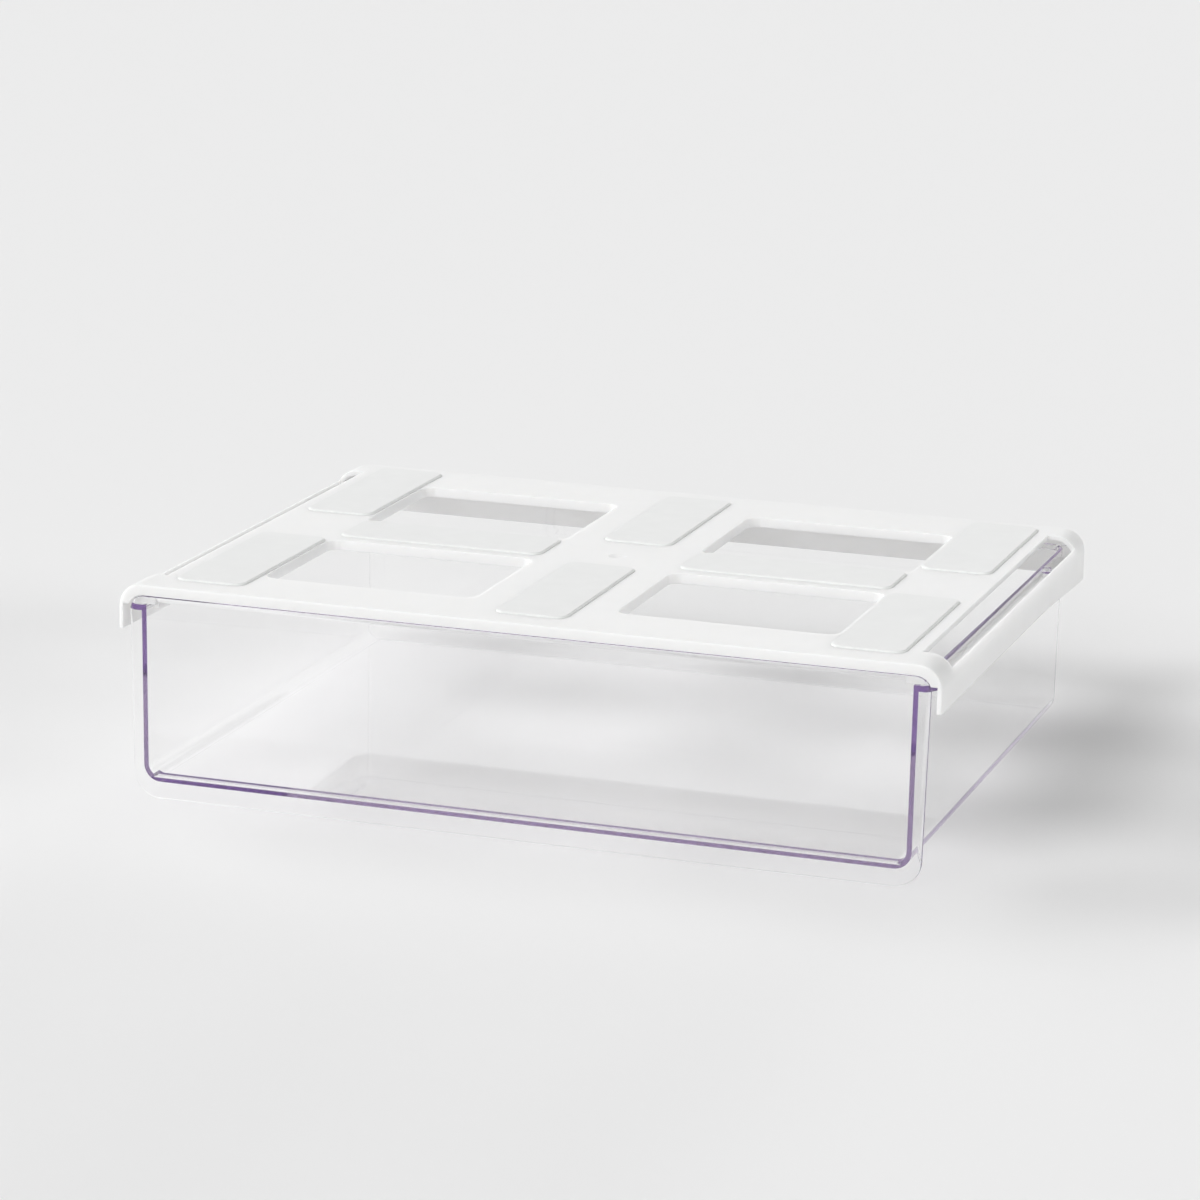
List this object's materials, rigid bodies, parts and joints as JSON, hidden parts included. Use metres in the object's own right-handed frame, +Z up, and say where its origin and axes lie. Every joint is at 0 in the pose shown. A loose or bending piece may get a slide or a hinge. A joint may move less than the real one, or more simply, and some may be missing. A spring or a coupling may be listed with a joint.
{
  "type": "adhesive storage drawer",
  "caption": "Clear pull-out drawer that slides in a white bracket, which sticks to the underside of a shelf with flat adhesive pads.",
  "frame": {"origin": "middle of the plane in which the tops of the pads' liners lie, where the underside of the shelf comes, halfway across the bracket's width and depth", "axes": "+X to the right as seen from the front, +Y to the back, +Z up to the shelf. The drawer pulls out along -Y."},
  "size_m": [0.339, 0.252, 0.0895],
  "materials": {
    "white_plastic": "satin moulded",
    "clear_plastic": "clear polished",
    "adhesive_foam": "matt foam",
    "liner_film": "smooth translucent film"
  },
  "bodies": {
    "bracket": {"mounting_bracket": "white_plastic", "pad_front_left": "adhesive_foam", "pad_front_centre": "adhesive_foam", "pad_front_right": "adhesive_foam", "pad_cross_left": "adhesive_foam", "pad_cross_right": "adhesive_foam", "pad_rear_left": "adhesive_foam", "pad_rear_centre": "adhesive_foam", "pad_rear_right": "adhesive_foam", "liner_front_left": "liner_film", "liner_front_centre": "liner_film", "liner_front_right": "liner_film", "liner_cross_left": "liner_film", "liner_cross_right": "liner_film", "liner_rear_left": "liner_film", "liner_rear_centre": "liner_film", "liner_rear_right": "liner_film"},
    "drawer": {"drawer": "clear_plastic"}
  },
  "joints": [
    {"name": "drawer_slide", "type": "slide", "parent": "bracket", "child": "drawer", "axis": [0, -1, 0], "range_m": [0, 0.1755]}
  ]
}
